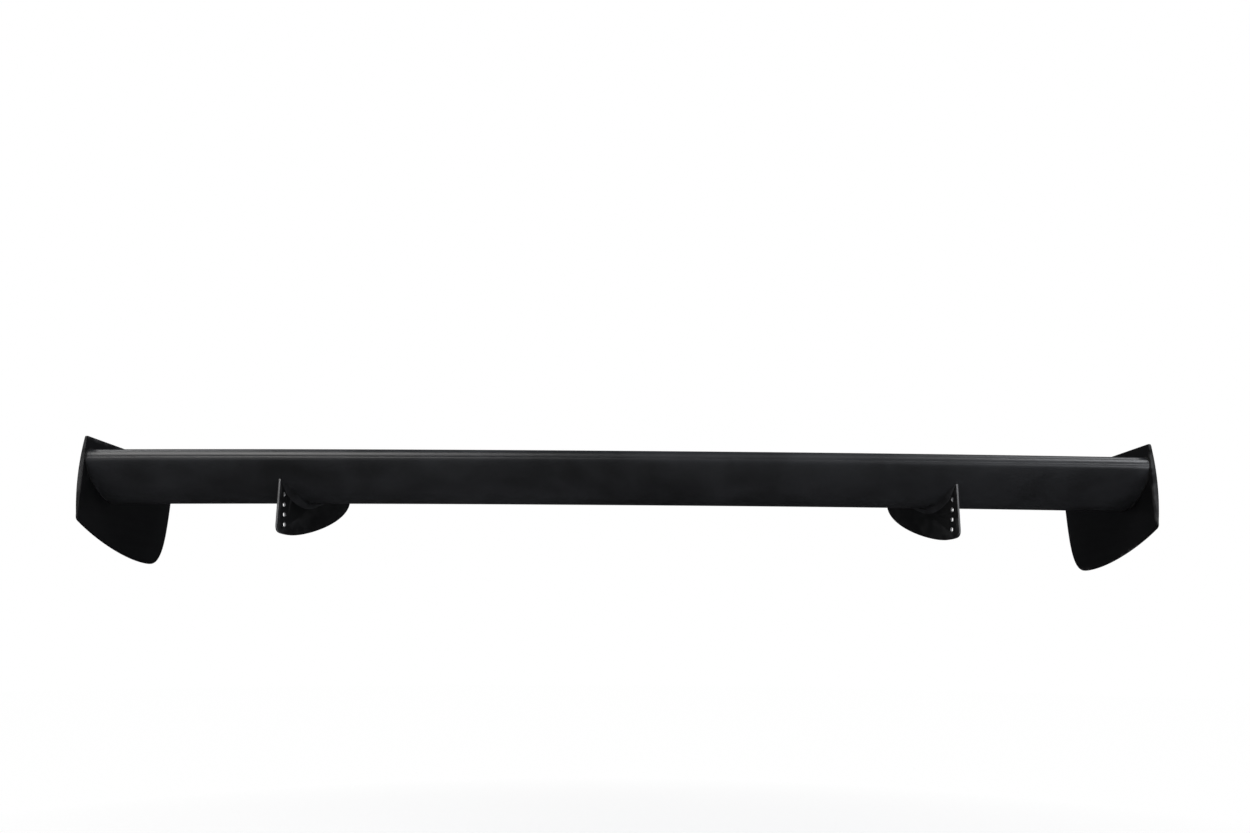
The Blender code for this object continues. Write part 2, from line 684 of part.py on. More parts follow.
def make_plate_fasteners(label, side):
    """Three button head screws with washers, each in a brass insert in the end rib."""
    outwards = Vector((side, 0, 0))
    for place, (back, up) in zip(("front", "middle", "rear"), PLATE_SCREWS):
        tag = f"{label}_{place}"
        floor = INNER_FACE + SPOTFACE_FLOOR + FIT
        washer_seat = facing(spot(side * floor, back, up), outwards)
        ring = ring_profile(WASHER_RADIUS, SCREW_RADIUS + FIT, 0, WASHER)
        turned("washer_" + tag, ring, washer_seat, STEEL, closed=True)
        seat_x = floor + WASHER + FIT
        seat = facing(spot(side * seat_x, back, up), outwards)
        dome = [(0, HEAD_HEIGHT), (HEAD_RADIUS * 0.55, HEAD_HEIGHT), (HEAD_RADIUS * 0.88, HEAD_HEIGHT * 0.6)]
        shank = [(SCREW_RADIUS, 0), (SCREW_RADIUS, -SCREW_LENGTH), (0, -SCREW_LENGTH)]
        profile = dome + [(HEAD_RADIUS, 0)] + shank
        screw = turned("endplate_screw_" + tag, profile, seat, STEEL)
        socket_floor = seat @ Vector((0, 0, HEAD_HEIGHT * 0.4))
        socket_mouth = seat @ Vector((0, 0, HEAD_HEIGHT * 2))
        socket = rods_cutter("socket_" + tag, [(socket_floor, socket_mouth, SOCKET_RADIUS)], 6)
        cut(screw, socket)
        insert_seat = facing(spot(side * BLADE_END, back, up), outwards)
        sleeve = ring_profile(INSERT_RADIUS, SCREW_RADIUS + FIT, -END_RIB, 0)
        turned("threaded_insert_" + tag, sleeve, insert_seat, BRASS, closed=True)


# ---------------------------------------------------------------- assembly

make_skin("upper_skin", trimmed(upper_line(), STRIP_TOP - JOINT), outward_down=False)
lower_skin = make_skin("lower_skin", trimmed(lower_line(), STRIP_LOW - JOINT), outward_down=True)
make_trailing_edge()
make_spar("main_spar", SPAR_RADIUS, SPAR_WALL, SPAR_AT)
make_spar("rear_spar", REAR_SPAR_RADIUS, REAR_SPAR_WALL, REAR_SPAR_AT)
make_upright_rib("centre_rib", 0, CENTRE_RIB)
for label, side in SIDES.items():
    make_fin(label, side)
    cut(lower_skin, make_slot_cutter(label, side))
    make_mount_rib(label, side)
    make_fillet(label, side, "outer", 1)
    make_fillet(label, side, "inner", -1)
    make_tab_bolts(label, side)
    make_endplate(label, side)
    make_end_seal(label, side)
    make_end_rib(label, side)
    make_plate_fasteners(label, side)
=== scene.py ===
# Racing rear wing: the finished surfaces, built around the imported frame.
# Metres, +X is the car's left, -Y faces forwards, +Z is up.

import json
import math

import bmesh
import bpy
import numpy as np
from mathutils import Matrix, Vector
from mathutils.geometry import interpolate_bezier


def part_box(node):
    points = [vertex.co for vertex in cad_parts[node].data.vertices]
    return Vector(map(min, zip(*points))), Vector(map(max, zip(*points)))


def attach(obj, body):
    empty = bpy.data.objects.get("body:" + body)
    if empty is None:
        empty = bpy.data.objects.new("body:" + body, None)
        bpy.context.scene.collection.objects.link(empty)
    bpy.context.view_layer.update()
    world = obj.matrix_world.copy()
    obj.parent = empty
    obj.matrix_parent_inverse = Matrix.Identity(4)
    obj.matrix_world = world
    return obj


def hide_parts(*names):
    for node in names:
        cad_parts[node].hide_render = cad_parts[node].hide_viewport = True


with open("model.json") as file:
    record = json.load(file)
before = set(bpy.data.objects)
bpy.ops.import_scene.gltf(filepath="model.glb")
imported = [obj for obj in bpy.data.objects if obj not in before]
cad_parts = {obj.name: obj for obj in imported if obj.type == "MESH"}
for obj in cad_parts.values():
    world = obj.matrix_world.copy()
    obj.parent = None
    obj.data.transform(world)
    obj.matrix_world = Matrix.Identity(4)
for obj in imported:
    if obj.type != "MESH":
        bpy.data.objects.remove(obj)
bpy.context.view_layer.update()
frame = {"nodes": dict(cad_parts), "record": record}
nodes = frame["nodes"]
sides = {"left": 1, "right": -1}
places = ("front", "middle", "rear")

# side view points are (back, up) from the front top corner of the endplates
plateLow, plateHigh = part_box("endplate_left")
frontY = plateLow.y
topZ = plateHigh.z
innerFace = plateLow.x
plateLength = plateHigh.y - plateLow.y
plateHeight = plateHigh.z - plateLow.z
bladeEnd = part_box("upper_skin")[1].x
fit = 0.0003                # clearance around a piece that passes through another
joint = 0.0004              # bond line between glued pieces


def spot(x, back, up):
    return Vector((x, frontY + back, topZ + up))


def bend(start, pullStart, pullEnd, end, count):
    # points along a smooth curve, from its start up to but not including its end
    corners = [Vector(corner).to_3d() for corner in (start, pullStart, pullEnd, end)]
    return [tuple(point.xy) for point in interpolate_bezier(*corners, count + 1)[:-1]]


def heightAt(line, back):
    backs, ups = zip(*line)
    return float(np.interp(back, backs, ups))


def offsetLine(line, distance):
    # a side view line moved to its own left
    points = [Vector(point) for point in line]
    sideways = []
    for first, second in zip(points, points[1:]):
        along = (second - first).normalized()
        sideways.append(Vector((-along.y, along.x)))
    sideways = [sideways[0]] + sideways + [sideways[-1]]
    moved = []
    for point, before, after in zip(points, sideways, sideways[1:]):
        middle = (before + after).normalized()
        moved.append(tuple(point + middle * distance / middle.dot(before)))
    return moved


cameraSetup = {
    "place": (0.0016, -1.4645, -0.1896),
    "yaw": 0.26,
    "pitch": 11.99,
    "roll": 0.40,
    "lens": 28.8,
    "sensor": 36.0,
}


def makeCamera(setup):
    data = bpy.data.cameras.new("camera")
    data.lens = setup["lens"]
    data.sensor_width = setup["sensor"]
    camera = bpy.data.objects.new("camera", data)
    bpy.context.scene.collection.objects.link(camera)
    aim = Matrix.Rotation(math.radians(-setup["yaw"]), 4, "Z")
    aim = aim @ Matrix.Rotation(math.radians(90 + setup["pitch"]), 4, "X")
    aim = aim @ Matrix.Rotation(math.radians(setup["roll"]), 4, "Z")
    camera.matrix_world = Matrix.Translation(setup["place"]) @ aim
    bpy.context.scene.camera = camera


class Wire:
    # one socket of a node tree, so that shader maths reads as plain sums
    def __init__(self, tree, socket=None):
        self.tree = tree
        self.socket = socket

    def add(self, kind, settings=None, sockets=None, output=0):
        node = self.tree.nodes.new(kind)
        for name, value in (settings or {}).items():
            if name == "stops":
                self.setStops(node.color_ramp, value)
            else:
                setattr(node, name, value)
        for name, value in (sockets or {}).items():
            if isinstance(value, Wire):
                self.tree.links.new(value.socket, node.inputs[name])
            else:
                node.inputs[name].default_value = value
        return Wire(self.tree, node.outputs[output] if node.outputs else None)

    def setStops(self, ramp, stops):
        while len(ramp.elements) < len(stops):
            ramp.elements.new(1.0)
        for element, (position, level) in zip(ramp.elements, stops):
            element.position = position
            element.color = (level, level, level, 1)

    def sums(self, operation, first, second):
        return self.add("ShaderNodeMath", {"operation": operation}, {0: first, 1: second})

    def __add__(self, other):
        return self.sums("ADD", self, other)

    def __radd__(self, other):
        return self.sums("ADD", other, self)

    def __sub__(self, other):
        return self.sums("SUBTRACT", self, other)

    def __rsub__(self, other):
        return self.sums("SUBTRACT", other, self)

    def __mul__(self, other):
        return self.sums("MULTIPLY", self, other)

    def __rmul__(self, other):
        return self.sums("MULTIPLY", other, self)

    def blend(self, first, second):
        # this socket as the factor between two colours
        return self.add("ShaderNodeMix", {"data_type": "RGBA"}, {0: self, 6: first, 7: second}, 2)

    def noise(self, place, scale, detail=4.0, distortion=0.0):
        sockets = {"Vector": place, "Scale": scale, "Detail": detail, "Distortion": distortion}
        return self.add("ShaderNodeTexNoise", {}, sockets)

    def stretched(self, scale, turn=(0.0, 0.0, 0.0)):
        return self.add("ShaderNodeMapping", {}, {"Vector": self, "Scale": scale, "Rotation": turn})

    def ramp(self, *stops):
        return self.add("ShaderNodeValToRGB", {"stops": stops}, {"Fac": self})

    def spread(self, low, high, toLow=0.0, toHigh=1.0):
        sockets = {"Value": self, "From Min": low, "From Max": high}
        sockets.update({"To Min": toLow, "To Max": toHigh})
        return self.add("ShaderNodeMapRange", {"clamp": True}, sockets)


worldSetup = {
    "seen": (1.0, 1.0, 1.0, 1),
    "above": (0.070, 0.073, 0.080, 1),
    "below": (0.012, 0.012, 0.013, 1),
    "fade": (-0.5, 0.7),    # how far down and up the room keeps changing
}


def makeWorld(setup):
    # the camera sees a plain white studio, and the wing is lit by a dimmer room that darkens downwards
    world = bpy.data.worlds.new("studio")
    bpy.context.scene.world = world
    bpy.context.scene.view_settings.view_transform = "Standard"
    world.use_nodes = True
    tree = world.node_tree
    tree.nodes.clear()
    wire = Wire(tree)
    direction = wire.add("ShaderNodeTexCoord", output="Generated")
    upwards = wire.add("ShaderNodeSeparateXYZ", {}, {"Vector": direction}, "Z")
    room = upwards.spread(*setup["fade"]).blend(setup["below"], setup["above"])
    seen = wire.add("ShaderNodeLightPath", output="Is Camera Ray")
    color = seen.blend(room, setup["seen"])
    light = wire.add("ShaderNodeBackground", {}, {"Color": color, "Strength": 1.0})
    wire.add("ShaderNodeOutputWorld", {}, {"Surface": light})


lights = {
    # over each end, for the upper surface and the floor
    "leftCeiling": {
        "size": (1.6, 2.6),
        "place": (-2.7, 0.4, 2.4),
        "aim": (0.0, 0.1, -0.4),
        "power": 46,
        "color": (1.0, 1.0, 1.0),
    },
    "rightCeiling": {
        "size": (1.6, 2.6),
        "place": (2.7, 0.4, 2.4),
        "aim": (0.0, 0.1, -0.4),
        "power": 46,
        "color": (0.97, 0.98, 1.0),
    },
    # draws the bright band along the nose
    "leftWindow": {
        "size": (2.3, 1.9),
        "place": (-1.75, -2.1, 1.8),
        "aim": (-0.3, 0.0, 0.0),
        "power": 92,
        "color": (1.0, 0.99, 0.97),
    },
    # dim and low, for the underside
    "lowLeft": {
        "size": (1.8, 0.8),
        "place": (-1.9, -2.5, -0.45),
        "aim": (-0.3, 0.0, 0.0),
        "power": 6,
        "color": (1.0, 1.0, 1.0),
    },
    "rightWindow": {
        "size": (1.7, 1.1),
        "place": (2.5, -1.7, 1.9),
        "aim": (0.3, 0.0, 0.0),
        "power": 75,
        "color": (0.95, 0.97, 1.0),
    },
    "lowRight": {
        "size": (2.0, 0.9),
        "place": (2.6, -2.3, -0.45),
        "aim": (0.4, 0.0, 0.0),
        "power": 31,
        "color": (0.93, 0.96, 1.0),
    },
    # dim, for the outer faces of the endplates
    "sideLeft": {
        "size": (1.2, 1.2),
        "place": (-3.0, 0.15, 1.2),
        "aim": (-0.8, 0.1, 0.0),
        "power": 16,
        "color": (1.0, 1.0, 1.0),
    },
    "sideRight": {
        "size": (1.2, 1.2),
        "place": (3.0, 0.15, 1.2),
        "aim": (0.8, 0.1, 0.0),
        "power": 16,
        "color": (1.0, 1.0, 1.0),
    },
}


def makeLight(name, setup):
    data = bpy.data.lights.new(name, "AREA")
    data.shape = "RECTANGLE"
    data.size, data.size_y = setup["size"]
    data.energy = setup["power"]
    data.color = setup["color"]
    light = bpy.data.objects.new(name, data)
    light.location = setup["place"]
    light.rotation_euler = (Vector(setup["aim"]) - light.location).to_track_quat("-Z", "Y").to_euler()
    light.visible_camera = False
    bpy.context.scene.collection.objects.link(light)


floorSetup = {
    "height": -0.75,
    "radius": 9.0,
    "segments": 96,
    "fadeFrom": 0.4,
    "fadeTo": 2.6,
    "color": (0.86, 0.86, 0.86, 1),
    "speckleScale": 60.0,
}


def makeFloor(setup):
    # a pale floor that fades into the white studio far from the wing
    build = bmesh.new()
    bmesh.ops.create_circle(build, cap_ends=True, segments=setup["segments"], radius=setup["radius"],
                            matrix=Matrix.Translation((0, 0, setup["height"])))
    mesh = bpy.data.meshes.new("floor")
    build.to_mesh(mesh)
    build.free()
    floor = bpy.data.objects.new("floor", mesh)
    bpy.context.scene.collection.objects.link(floor)
    material, wire = newMaterial("paleFloor")
    place = wire.add("ShaderNodeTexCoord", output="Object")
    flat = place.add("ShaderNodeVectorMath", {"operation": "MULTIPLY"}, {0: place, 1: (1, 1, 0)})
    away = flat.add("ShaderNodeVectorMath", {"operation": "LENGTH"}, {0: flat}, "Value")
    speckle = wire.noise(place, setup["speckleScale"], 3.0).spread(0.3, 0.7, 0.97, 1.03)
    painted = wire.add("ShaderNodeBsdfDiffuse", {}, {"Color": setup["color"], "Roughness": 0.5})
    bright = wire.add("ShaderNodeEmission", {}, {"Color": (1, 1, 1, 1), "Strength": 1.0})
    fade = away.spread(setup["fadeFrom"], setup["fadeTo"]) * speckle
    mixed = wire.add("ShaderNodeMixShader", {}, {0: fade, 1: painted, 2: bright})
    wire.add("ShaderNodeOutputMaterial", {}, {"Surface": mixed})
    mesh.materials.append(material)
    floor.visible_glossy = False


def newMaterial(name):
    material = bpy.data.materials.new(name)
    material.use_nodes = True
    material.node_tree.nodes.clear()
    return material, Wire(material.node_tree)


def finishMaterial(material, wire, constants, varied):
    shader = wire.add("ShaderNodeBsdfPrincipled", {}, {**constants, **varied})
    wire.add("ShaderNodeOutputMaterial", {}, {"Surface": shader})
    return material


def satinBlack(name, look):
    # sprayed or moulded black: slow clouds, a cool mottle, sanding lines, dust, and lighter edges that
    # are partly wear and partly painted highlight
    material, wire = newMaterial(name)
    place = wire.add("ShaderNodeTexCoord", output="Object")
    clouds = wire.noise(place, look["cloudScale"], 3.0, 0.4).spread(0.32, 0.68)
    mottle = wire.noise(place, look["mottleScale"], 5.0, 0.8).spread(0.35, 0.70)
    sanding = wire.noise(place.stretched(look["sanding"]), 1.0, 3.0).spread(0.30, 0.70)
    dust = wire.noise(place, look["dustScale"], 2.0).spread(0.70, 0.80)
    peel = wire.noise(place, look["peelScale"], 2.0)
    # lighter edges: partly worn paint, partly a painted highlight along edges that catch light
    edge = wire.add("ShaderNodeNewGeometry", output="Pointiness").spread(0.52, 0.60)
    edgeBreakup = wire.noise(place, look["edgeBreakupScale"], 4.0, 0.3).spread(0.42, 0.58)
    edgeWearAndHighlight = edge * edgeBreakup
    tone = mottle * look["mottle"] + clouds * (1 - look["mottle"])
    color = tone.blend(look["dark"], look["light"])
    color = (dust * look["dust"]).blend(color, look["dustColor"])
    color = (edgeWearAndHighlight * look["edgeWearAndHighlightAmount"]).blend(color, look["edgeWearAndHighlightColor"])
    roughness = look["roughness"] + (clouds - 0.5) * 0.05 + (sanding - 0.5) * look["streaks"]
    roughness = roughness + (mottle - 0.5) * 0.05 + dust * 0.10 - edgeWearAndHighlight * 0.06
    height = peel * look["peel"] + sanding * 0.25 + dust * 0.5
    sockets = {"Strength": 0.35, "Distance": look["relief"], "Height": height}
    relief = wire.add("ShaderNodeBump", {}, sockets)
    return finishMaterial(material, wire, {"Specular IOR Level": look["specular"], "Metallic": 0.0},
                          {"Base Color": color, "Roughness": roughness, "Normal": relief})


bladeLook = {
    "cloudScale": 3.1,
    "dustScale": 420.0,
    "edgeBreakupScale": 55.0,
    "dark": (0.0062, 0.0064, 0.0070, 1),
    "light": (0.0160, 0.0167, 0.0192, 1),
    "mottle": 0.60,
    "mottleScale": 11.0,
    "sanding": (2.5, 160.0, 160.0),
    "streaks": 0.06,
    "peelScale": 520.0,
    "peel": 1.0,
    "relief": 0.00010,
    "dust": 0.30,
    "dustColor": (0.055, 0.055, 0.058, 1),
    "edgeWearAndHighlightAmount": 0.45,
    "edgeWearAndHighlightColor": (0.060, 0.060, 0.062, 1),
    "roughness": 0.37,
    "specular": 0.42,
}
plateLook = {
    **bladeLook,
    # a darker black than the blade's: painted shade for the shaded inner faces of the plates
    "dark": (0.0026, 0.0026, 0.0028, 1),
    "light": (0.0048, 0.0048, 0.0052, 1),
    "mottle": 0.5,
    "mottleScale": 16.0,
    "sanding": (60.0, 5.0, 90.0),
    "roughness": 0.38,
    "specular": 0.18,
    "edgeWearAndHighlightAmount": 0.35,
    "edgeWearAndHighlightColor": (0.080, 0.080, 0.083, 1),
}
finLook = {
    **bladeLook,
    # a darker black than the blade's: painted shade for the shaded faces of the fins
    "dark": (0.0032, 0.0032, 0.0034, 1),
    "light": (0.0058, 0.0058, 0.0062, 1),
    "mottle": 0.5,
    "mottleScale": 24.0,
    "sanding": (90.0, 9.0, 90.0),
    "roughness": 0.40,
    "specular": 0.18,
    # the fins' edges are lightened strongly: worn paint and a painted highlight for their bright edge
    # lines
    "edgeWearAndHighlightAmount": 0.9,
    "edgeWearAndHighlightColor": (0.22, 0.22, 0.23, 1),
    "peelScale": 700.0,
}
filletLook = {
    **bladeLook,
    "mottleScale": 40.0,
    "mottle": 0.8,
    "peelScale": 260.0,
    "relief": 0.00025,
    "roughness": 0.44,
    "edgeWearAndHighlightAmount": 0.2,
}


rubberLook = {
    "fresh": (0.004, 0.004, 0.004, 1),
    "bloomed": (0.009, 0.009, 0.009, 1),
    "bloomScale": 38.0,
    "poreScale": 1500.0,
    "poreDepth": 0.0001,
    "roughness": 0.72,
    "specular": 0.3,
}


def sealRubber(look):
    # black rubber with fine pores and a dull bloom
    material, wire = newMaterial("sealRubber")
    place = wire.add("ShaderNodeTexCoord", output="Object")
    bloom = wire.noise(place, look["bloomScale"], 4.0, 0.5).spread(0.35, 0.75)
    pores = wire.noise(place, look["poreScale"], 2.0)
    color = bloom.blend(look["fresh"], look["bloomed"])
    roughness = look["roughness"] + bloom * 0.16
    sockets = {"Strength": 0.5, "Distance": look["poreDepth"], "Height": pores}
    relief = wire.add("ShaderNodeBump", {}, sockets)
    return finishMaterial(material, wire, {"Specular IOR Level": look["specular"]},
                          {"Base Color": color, "Roughness": roughness, "Normal": relief})


def metal(name, look):
    # bare or blackened metal with tool marks, a little tarnish and brighter rubbed edges
    material, wire = newMaterial(name)
    place = wire.add("ShaderNodeTexCoord", output="Object")
    marks = wire.noise(place.stretched(look["marks"]), 1.0, 4.0).spread(0.30, 0.70)
    tarnish = wire.noise(place, look["tarnishScale"], 4.0, 0.6).spread(0.40, 0.72)
    edge = wire.add("ShaderNodeNewGeometry", output="Pointiness").spread(0.52, 0.60)
    color = tarnish.blend(look["clean"], look["tarnished"])
    color = (edge * 0.6).blend(color, look["rubbed"])
    roughness = look["roughness"] + marks * 0.12 + tarnish * 0.10 - edge * 0.08
    sockets = {"Strength": 0.3, "Distance": look["markDepth"], "Height": marks}
    relief = wire.add("ShaderNodeBump", {}, sockets)
    return finishMaterial(material, wire, {"Metallic": look["metallic"]},
                          {"Base Color": color, "Roughness": roughness, "Normal": relief})


blackOxide = {
    "clean": (0.052, 0.052, 0.056, 1),
    "tarnished": (0.034, 0.033, 0.034, 1),
    "rubbed": (0.30, 0.30, 0.31, 1),
    "roughness": 0.30,
    "marks": (900.0, 900.0, 900.0),
    "tarnishScale": 240.0,
    "markDepth": 0.00005,
    "metallic": 1.0,
}
brightSteel = {
    "clean": (0.60, 0.60, 0.60, 1),
    "tarnished": (0.46, 0.45, 0.44, 1),
    "rubbed": (0.72, 0.72, 0.72, 1),
    "roughness": 0.24,
    "marks": (700.0, 700.0, 700.0),
    "tarnishScale": 160.0,
    "markDepth": 0.00005,
    "metallic": 1.0,
}
drawnTube = {
    "clean": (0.72, 0.73, 0.75, 1),
    "tarnished": (0.60, 0.61, 0.63, 1),
    "rubbed": (0.82, 0.82, 0.84, 1),
    "roughness": 0.28,
    "marks": (3.0, 900.0, 900.0),
    "tarnishScale": 22.0,
    "markDepth": 0.00005,
    "metallic": 1.0,
}
turnedBrass = {
    "clean": (0.70, 0.52, 0.25, 1),
    "tarnished": (0.48, 0.34, 0.17, 1),
    "rubbed": (0.84, 0.66, 0.36, 1),
    "roughness": 0.26,
    "marks": (1600.0, 60.0, 60.0),
    "tarnishScale": 150.0,
    "markDepth": 0.00005,
    "metallic": 1.0,
}
# paint rubbed thin along the fins' front edges, with a painted highlight there, and the dull walls of
# their holes
finEdgeWearAndHighlight = {
    **drawnTube,
    "rubbed": (0.16, 0.16, 0.165, 1),
    "clean": (0.085, 0.085, 0.088, 1),
    "tarnished": (0.035, 0.035, 0.037, 1),
    "roughness": 0.45,
    "marks": (300.0, 300.0, 60.0),
    "metallic": 0.2,
}
# drilled hole walls: bare metal, lightened as a painted highlight for bright spots at the holes
holeWallAndHighlight = {
    **drawnTube,
    "rubbed": (0.30, 0.30, 0.31, 1),
    "clean": (0.15, 0.15, 0.155, 1),
    "tarnished": (0.09, 0.09, 0.093, 1),
    "roughness": 0.42,
    "marks": (900.0, 40.0, 900.0),
    "metallic": 0.25,
}


plywoodLook = {
    "pale": (0.62, 0.46, 0.28, 1),
    "warm": (0.46, 0.32, 0.18, 1),
    "glueLine": (0.34, 0.22, 0.12, 1),
    "poreColor": (0.30, 0.19, 0.10, 1),
    "grain": (40.0, 9.0, 160.0),
    "pores": (200.0, 60.0, 900.0),
    "plyScale": 105.0,
    "relief": 0.0002,
    "roughness": 0.58,
    "specular": 0.35,
}


def birchPlywood(look):
    # thin plies through the rib's thickness, with the grain of each face running back
    material, wire = newMaterial("birchPlywood")
    place = wire.add("ShaderNodeTexCoord", output="Object")
    grain = wire.noise(place.stretched(look["grain"]), 1.0, 5.0, 0.6).spread(0.30, 0.72)
    pores = wire.noise(place.stretched(look["pores"]), 1.0, 2.0).spread(0.62, 0.74)
    bands = {"wave_type": "BANDS", "bands_direction": "X"}
    layers = {"Vector": place, "Scale": look["plyScale"], "Distortion": 0.4, "Detail": 2.0}
    plies = wire.add("ShaderNodeTexWave", bands, layers).ramp((0.42, 0), (0.5, 1))
    color = grain.blend(look["pale"], look["warm"])
    color = (plies * 0.35).blend(color, look["glueLine"])
    color = (pores * 0.5).blend(color, look["poreColor"])
    roughness = look["roughness"] + grain * 0.14
    sockets = {"Strength": 0.4, "Distance": look["relief"], "Height": grain - pores * 0.6}
    relief = wire.add("ShaderNodeBump", {}, sockets)
    return finishMaterial(material, wire, {"Specular IOR Level": look["specular"]},
                          {"Base Color": color, "Roughness": roughness, "Normal": relief})


def makeFinishes():
    return {
        "blade_gelcoat": satinBlack("bladeSatinBlack", bladeLook),
        "endplate_black": satinBlack("plateSatinBlack", plateLook),
        "fin_paint": satinBlack("finPaint", finLook),
        "bond_fillet": satinBlack("paintedFillet", filletLook),
        "seal_rubber": sealRubber(rubberLook),
        "plate_screws": metal("blackOxideSteel", blackOxide),
        "inner_fasteners": metal("stainlessSteel", brightSteel),
        "spar_tube": metal("drawnAluminium", drawnTube),
        "brass_insert": metal("turnedBrass", turnedBrass),
        "rib_ply": birchPlywood(plywoodLook),
        "holeWallAndHighlightMetal": metal("drilledAluminiumAndHighlight", holeWallAndHighlight),
        "finEdgeWearAndHighlight": metal("finEdgeWearAndHighlightPaint", finEdgeWearAndHighlight),
    }


def newPiece(name, build):
    bmesh.ops.recalc_face_normals(build, faces=build.faces)
    mesh = bpy.data.meshes.new(name)
    build.to_mesh(mesh)
    build.free()
    piece = bpy.data.objects.new(name, mesh)
    bpy.context.scene.collection.objects.link(piece)
    return piece


def carve(piece, rods, segments=40):
    # takes round rods, given as start, end and radius, out of a piece
    build = bmesh.new()
    for start, end, radius in rods:
        along = end - start
        turn = along.to_track_quat("Z", "Y").to_matrix().to_4x4()
        bmesh.ops.create_cone(build, cap_ends=True, segments=segments, radius1=radius, radius2=radius,
                              depth=along.length, matrix=Matrix.Translation((start + end) / 2) @ turn)
    carveWith(piece, newPiece("rods", build))


def carveWith(piece, cutter):
    boolean = piece.modifiers.new("carve", "BOOLEAN")
    boolean.object = cutter
    boolean.solver = "EXACT"
    bakeModifiers(piece)
    bpy.data.objects.remove(cutter)


def bakeModifiers(piece):
    bpy.context.view_layer.update()
    evaluated = piece.evaluated_get(bpy.context.evaluated_depsgraph_get())
    mesh = bpy.data.meshes.new_from_object(evaluated)
    piece.modifiers.clear()
    piece.data = mesh


def easeEdges(piece, width, segments=2, angle=40):
    # rounds every hard edge of a piece a little
    ease = piece.modifiers.new("ease", "BEVEL")
    ease.width = width
    ease.segments = segments
    ease.limit_method = "ANGLE"
    ease.angle_limit = math.radians(angle)
    ease.harden_normals = False
    bakeModifiers(piece)


def dress(piece, slotName, replaced, sharp=50):
    piece.data.shade_smooth()
    piece.data.set_sharp_from_angle(angle=math.radians(sharp))
    piece.data.materials.clear()
    piece.data.materials.append(finishes[slotName])
    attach(piece, "root")
    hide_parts(*replaced)


def plateFrom(outline, thickness, place):
    # a flat plate from points in its own plane, centred on that plane
    build = bmesh.new()
    corners = [build.verts.new((-thickness / 2, along, up)) for along, up in outline]
    raised = bmesh.ops.extrude_face_region(build, geom=[build.faces.new(corners)])
    moved = [item for item in raised["geom"] if isinstance(item, bmesh.types.BMVert)]
    bmesh.ops.translate(build, vec=(thickness, 0, 0), verts=moved)
    bmesh.ops.transform(build, matrix=place, verts=build.verts)
    return build


blade = {
    "noseBack": 0.0018,     # short upright land where the two skins butt together
    "noseTop": -0.0290,
    "noseSplit": -0.0310,
    "noseLow": -0.0330,
    "seam": 0.00002,        # half the hairline left between the two skins
    "crest": (0.018, -0.0178),
    "belly": (0.093, -0.0880),
    "tailTop": (0.270, -0.0080),
    "tailLow": (0.270, -0.0105),
    "noseOver": ((0.0018, -0.0215), (0.0085, -0.0178)),     # pulls that shape each curve
    "dish": ((0.055, -0.0178), (0.105, -0.0780)),
    "noseUnder": ((0.0018, -0.0450), (0.043, -0.0880)),
    "runOut": ((0.140, -0.0880), (0.215, -0.0340)),
    "bow": 0.004,
    "bowPower": 2.2,
    "halfWidth": 0.775,
    "wall": 0.0025,
    "stripTop": 0.2310,     # where the solid trailing edge strip starts on the upper side
    "stripLow": 0.2337,
    "stations": 64,
    "skinEase": 0.00005,
    "stripEase": 0.0004,
}


def rise(x):
    return blade["bow"] * (1 - abs(x / blade["halfWidth"]) ** blade["bowPower"])


def upperLine():
    nose = (blade["noseBack"], blade["noseTop"])
    over = bend(nose, *blade["noseOver"], blade["crest"], 12)
    dish = bend(blade["crest"], *blade["dish"], blade["tailTop"], 44)
    return [(nose[0], blade["noseSplit"] + blade["seam"])] + over + dish + [blade["tailTop"]]


def lowerLine():
    nose = (blade["noseBack"], blade["noseLow"])
    under = bend(nose, *blade["noseUnder"], blade["belly"], 30)
    runOut = bend(blade["belly"], *blade["runOut"], blade["tailLow"], 34)
    return [(nose[0], blade["noseSplit"] - blade["seam"])] + under + runOut + [blade["tailLow"]]


def trimmed(line, back):
    kept = [point for point in line if point[0] < back - 0.0005]
    return kept + [(back, heightAt(line, back))]


def followBow(build):
    # cuts the long faces into stations across the car, then lifts them to the bow
    lengthwise = [edge for edge in build.edges if edge.calc_length() > bladeEnd]
    bmesh.ops.subdivide_edges(build, edges=lengthwise, cuts=blade["stations"] - 1, use_grid_fill=True)
    for vert in build.verts:
        vert.co.z += rise(vert.co.x)


def makeSkin(name, line, outwards):
    build = bmesh.new()
    row = [build.verts.new(spot(-bladeEnd, back, up)) for back, up in line]
    edges = [build.edges.new(pair) for pair in zip(row, row[1:])]
    swept = bmesh.ops.extrude_edge_only(build, edges=edges)
    moved = [item for item in swept["geom"] if isinstance(item, bmesh.types.BMVert)]
    bmesh.ops.translate(build, vec=(2 * bladeEnd, 0, 0), verts=moved)
    followBow(build)
    skin = newPiece(name, build)
    facing = sum(face.normal.z * face.area for face in skin.data.polygons)
    if facing * outwards < 0:
        skin.data.flip_normals()
    wall = skin.modifiers.new("wall", "SOLIDIFY")
    wall.thickness = blade["wall"]
    wall.offset = -1
    wall.use_even_offset = True
    bakeModifiers(skin)
    return skin


